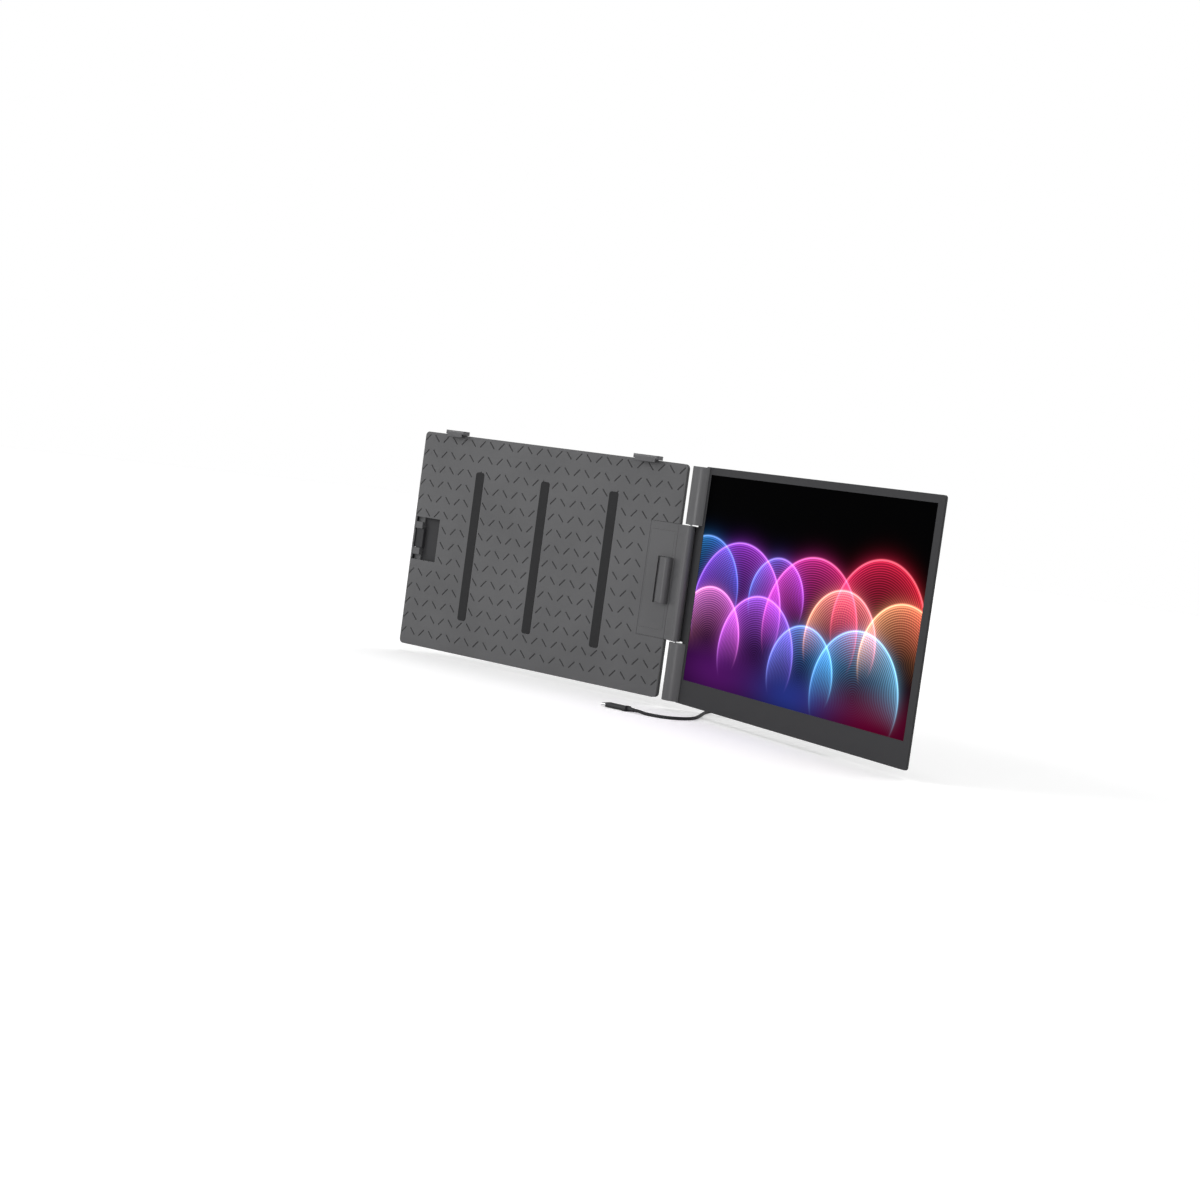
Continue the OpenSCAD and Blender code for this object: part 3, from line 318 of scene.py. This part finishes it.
def lit_picture(name):
    """The display panel: a satin front with the picture shining through it."""
    material, tree, shader = new_material(name)
    coordinates = tree.nodes.new("ShaderNodeTexCoord")
    back = tree.nodes.new("ShaderNodeVectorRotate")
    back.rotation_type = "Z_AXIS"
    back.inputs["Center"].default_value = HINGE_AT
    back.inputs["Angle"].default_value = SWING
    tree.links.new(coordinates.outputs["Object"], back.inputs["Vector"])
    parts = tree.nodes.new("ShaderNodeSeparateXYZ")
    tree.links.new(back.outputs["Vector"], parts.inputs[0])
    across = calc(tree, "SUBTRACT", parts.outputs["X"], HINGE_AT.x + ACTIVE_LEFT)
    across = calc(tree, "DIVIDE", across, ACTIVE_H)
    up = calc(tree, "SUBTRACT", parts.outputs["Z"], ACTIVE_LOW)
    up = calc(tree, "DIVIDE", up, ACTIVE_H)
    place = tree.nodes.new("ShaderNodeCombineXYZ")
    tree.links.new(across, place.inputs["X"])
    tree.links.new(up, place.inputs["Y"])
    group = disc_group()
    total = None
    for centre, radius, left, right, strength in DISCS:
        disc = tree.nodes.new("ShaderNodeGroup")
        disc.node_tree = group
        tree.links.new(place.outputs[0], disc.inputs["Place"])
        disc.inputs["Centre"].default_value = (*centre, 0)
        disc.inputs["Radius"].default_value = radius
        disc.inputs["Left"].default_value = left
        disc.inputs["Right"].default_value = right
        disc.inputs["Strength"].default_value = strength
        total = disc.outputs[0] if total is None else vector(tree, "ADD", total, disc.outputs[0])
    for centre, spread, colour in GLOWS:
        away = vector(tree, "SUBTRACT", place.outputs[0], (*centre, 0))
        away = vector(tree, "DIVIDE", away, (*spread, 1))
        level = calc(tree, "EXPONENT", calc(tree, "MULTIPLY", vector(tree, "DOT_PRODUCT", away, away), -1.0))
        total = vector(tree, "ADD", total, vector(tree, "SCALE", colour, level))
    shader.inputs["Base Color"].default_value = (0.0004, 0.0004, 0.0005, 1)
    tree.links.new(total, shader.inputs["Emission Color"])
    shader.inputs["Emission Strength"].default_value = 1.0
    shader.inputs["Specular IOR Level"].default_value = 0.004
    fine = noise(tree, place_of(tree), 4000.0, 2.0)
    tree.links.new(step(tree, fine, 0.2, 0.8, 0.26, 0.36), shader.inputs["Roughness"])
    grain(tree, shader, fine, 0.1, 0.01 * MM)
    return material


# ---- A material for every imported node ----

def dress_nodes():
    shell = moulded("shell_plastic", (0.028, 0.028, 0.030), 0.5, specular=0.2)
    satin = dict(colour=(0.085, 0.085, 0.088), rough=0.34, pits=1900.0, specular=0.35, bump=0.12)
    cover = moulded("cover_satin", **satin)
    finish = {
        shell: ("bracket_shell", "flip_hook_left", "kickstand", "screen_bezel", "screen_back",
                "knuckle_caps", "laptop_plug", "screen_plug"),
        # The front cover's grooves have painted shade on their floors.
        moulded("grooved_satin_painted_shade", groove_y=0.5 * MM, **satin): ("front_cover",),
        cover: ("hinge_leaf", "leaf_cover", "top_clip_left", "top_clip_right", "side_hook_right",
                "side_slider_left", "hinge_arm_upper", "hinge_arm_lower", "power_button", "menu_rocker"),
        rubber("strip_rubber", (0.014, 0.014, 0.015), ribs=1.2 * MM): (
            "rubber_strips", "top_clip_pads_left", "top_clip_pads_right", "side_hook_pad_right",
            "kickstand_foot"),
        brushed("screw_steel", (0.62, 0.62, 0.63), 0.3): (
            "hinge_pins", "bracket_screws", "top_spring_left", "top_spring_right", "flip_hook_pin",
            "kickstand_pin", "torque_sleeves", "screen_screws"),
        brushed("plug_steel", (0.66, 0.66, 0.67), 0.26, along=(0.05, 1, 1)): (
            "usb_sockets", "hdmi_socket", "laptop_plug_shell", "screen_plug_shell"),
        brushed("tray_metal", (0.7, 0.7, 0.71), 0.38, along=(0.02, 1, 1)): ("backlight_tray",),
        lit_picture("lit_panel"): ("display_panel",),
        circuit_board("board_green"): ("driver_board",),
    }
    for material, names in finish.items():
        for name in names:
            for place in nodes[name].material_slots:
                place.material = material


dress_nodes()

# ---- Cable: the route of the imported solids, and the turns of its coil ----

CORD_D = 3.4 * MM
FLOOR_Z = -133.2 * MM
PLUG_Z = -130.4
CORD_Z = -131.5
COIL_AT = (248.0, 82.0)
COIL_TOP_Z = -128.1
ROUTE_LOW = [
    (220, -82, PLUG_Z), (223, -82, PLUG_Z), (226.5, -82, PLUG_Z), (232, -81.6, -131.1),
    (238.5, -80.6, CORD_Z), (245, -79.4, CORD_Z), (251, -77, CORD_Z), (256, -72.8, CORD_Z),
    (260, -67, CORD_Z), (262.6, -60, CORD_Z), (264, -52, CORD_Z), (264, -43, CORD_Z),
    (262, -33, CORD_Z), (256.5, -19, CORD_Z), (246, 3, CORD_Z), (236, 24, CORD_Z),
    (229, 48, CORD_Z), (226.8, 68, CORD_Z), (226.6, 80, CORD_Z),
]
ROUTE_HIGH = [
    (269.4, 80, COIL_TOP_Z), (269, 62, COIL_TOP_Z), (265, 48, -125), (254, 36, -118),
    (240, 29, -110), (228, 25.5, -105), (219.5, 22.5, -102.6), (216, 17, -102.2),
    (217, 11.5, -102.2),
]
# The screen plug's mouth in the screen's frame, after two points before it on the plug's axis
SCREEN_LEAD = [(13.6, 16.42, -102.2), (16.1, 16.42, -102.2), (18.6, 16.42, -102.2)]


def smooth_curve(points, steps):
    """A smooth curve through the points, in so many steps from each to the next."""
    points = [Vector(p) for p in points]
    last = len(points) - 1
    curve = []
    for i in range(last):
        a, b = points[max(i - 1, 0)], points[i]
        c, d = points[i + 1], points[min(i + 2, last)]
        for k in range(steps):
            u = k / steps
            curve.append(b + u * (c - a) / 2 + u ** 2 * (2 * a - 5 * b + 4 * c - d) / 2
                         + u ** 3 * (3 * b - a - 3 * c + d) / 2)
    return curve + [points[last]]


def ease(u):
    u = min(max(u, 0.0), 1.0)
    return u * u * (3 - 2 * u)


def coil_turns():
    """Three turns inwards on the floor and three back out on top of them, all wound one way."""
    pitch = CORD_D / MM
    outer = 18 + pitch
    turns = []
    for degrees in range(0, 1981, 15):
        inwards = ease((degrees - 300) / 60) + ease((degrees - 660) / 60)
        outwards = ease((degrees - 1260) / 60) + ease((degrees - 1620) / 60)
        radius = outer - pitch * (inwards - outwards)
        height = CORD_Z + pitch * ease((degrees - 960) / 60)
        angle = math.radians(180 - degrees)
        turns.append(Vector((COIL_AT[0] + radius * math.cos(angle),
                             COIL_AT[1] + radius * math.sin(angle), height)))
    return turns


def add_cable():
    low = smooth_curve(ROUTE_LOW, 4)
    high = smooth_curve(ROUTE_HIGH + [tuple(on_screen(*p) / MM) for p in SCREEN_LEAD], 4)
    path = [p * MM for p in (low[:-1] + coil_turns() + high[1:])]
    path.reverse()
    data = bpy.data.curves.new("cable_sheath", "CURVE")
    data.dimensions = "3D"
    data.bevel_depth = CORD_D / 2
    data.bevel_resolution = 4
    data.use_fill_caps = True
    spline = data.splines.new("POLY")
    spline.points.add(len(path) - 1)
    for point, place in zip(spline.points, path):
        point.co = (*place, 1.0)
    spline.use_smooth = True
    sheath = bpy.data.objects.new("cable_sheath", data)
    bpy.context.scene.collection.objects.link(sheath)
    data.materials.append(rubber("cord_rubber", (0.02, 0.02, 0.021)))
    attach(sheath, "screen")
    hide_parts("cable", "cable_coil")


add_cable()


# ---- Floor, backdrop and light ----

WORLD_LIGHT = 0.35  # strength of the white world as a light
FLOOR_GREY = 0.88
FLOOR_SHINE = 0.25  # emission that only the camera sees
FLOOR_SIZE = 12
LAMP_TARGET = (0.1, 0, 0)
# Name, place, strength and spread in degrees
LAMPS = [
    ("key", (-1.6, -1.7, 1.1), 1.1, 35),
    ("fill", (1.6, -1.4, 0.9), 0.6, 35),
    ("sheen", (-0.07, -2.0, 0.12), 0.5, 6),
    ("top", (0.2, 0.3, 1.9), 1.2, 50),
    ("back", (0.5, 1.9, 0.3), 0.6, 40),
]


def add_sun(name, at, strength, spread):
    """A far, wide and soft studio light that falls off nowhere; its spread is in degrees."""
    data = bpy.data.lights.new(name, "SUN")
    data.energy = strength
    data.angle = math.radians(spread)
    lamp = bpy.data.objects.new(name, data)
    lamp.location = at
    lamp.rotation_euler = (Vector(LAMP_TARGET) - Vector(at)).to_track_quat("-Z", "Y").to_euler()
    bpy.context.scene.collection.objects.link(lamp)


def white_world():
    """White to the camera, to reflections and through glass, and dimmer as a light."""
    world = bpy.data.worlds.new("world")
    bpy.context.scene.world = world
    world.use_nodes = True
    tree = world.node_tree
    path = tree.nodes.new("ShaderNodeLightPath")
    seen = calc(tree, "ADD", path.outputs["Is Camera Ray"], path.outputs["Is Glossy Ray"])
    seen = calc(tree, "ADD", seen, path.outputs["Is Transmission Ray"], clamp=True)
    strength = calc(tree, "MULTIPLY_ADD", seen, 1 - WORLD_LIGHT, WORLD_LIGHT)
    background = tree.nodes["Background"]
    background.inputs["Color"].default_value = (1, 1, 1, 1)
    tree.links.new(strength, background.inputs["Strength"])


def white_floor():
    """Plain pale floor that keeps the shadow, and shines a little for the camera so that it is white."""
    material, tree, shader = new_material("floor_white")
    shader.inputs["Base Color"].default_value = (FLOOR_GREY, FLOOR_GREY, FLOOR_GREY, 1)
    shader.inputs["Roughness"].default_value = 0.9
    shader.inputs["Specular IOR Level"].default_value = 0.0
    path = tree.nodes.new("ShaderNodeLightPath")
    shader.inputs["Emission Color"].default_value = (1, 1, 1, 1)
    shine = calc(tree, "MULTIPLY", path.outputs["Is Camera Ray"], FLOOR_SHINE)
    tree.links.new(shine, shader.inputs["Emission Strength"])
    bpy.ops.mesh.primitive_plane_add(size=FLOOR_SIZE, location=(0, 0, FLOOR_Z))
    floor = bpy.context.object
    floor.name = "floor"
    floor.data.materials.append(material)


def add_stage():
    white_world()
    white_floor()
    for lamp in LAMPS:
        add_sun(*lamp)
    bpy.context.scene.view_settings.view_transform = "Standard"


add_stage()
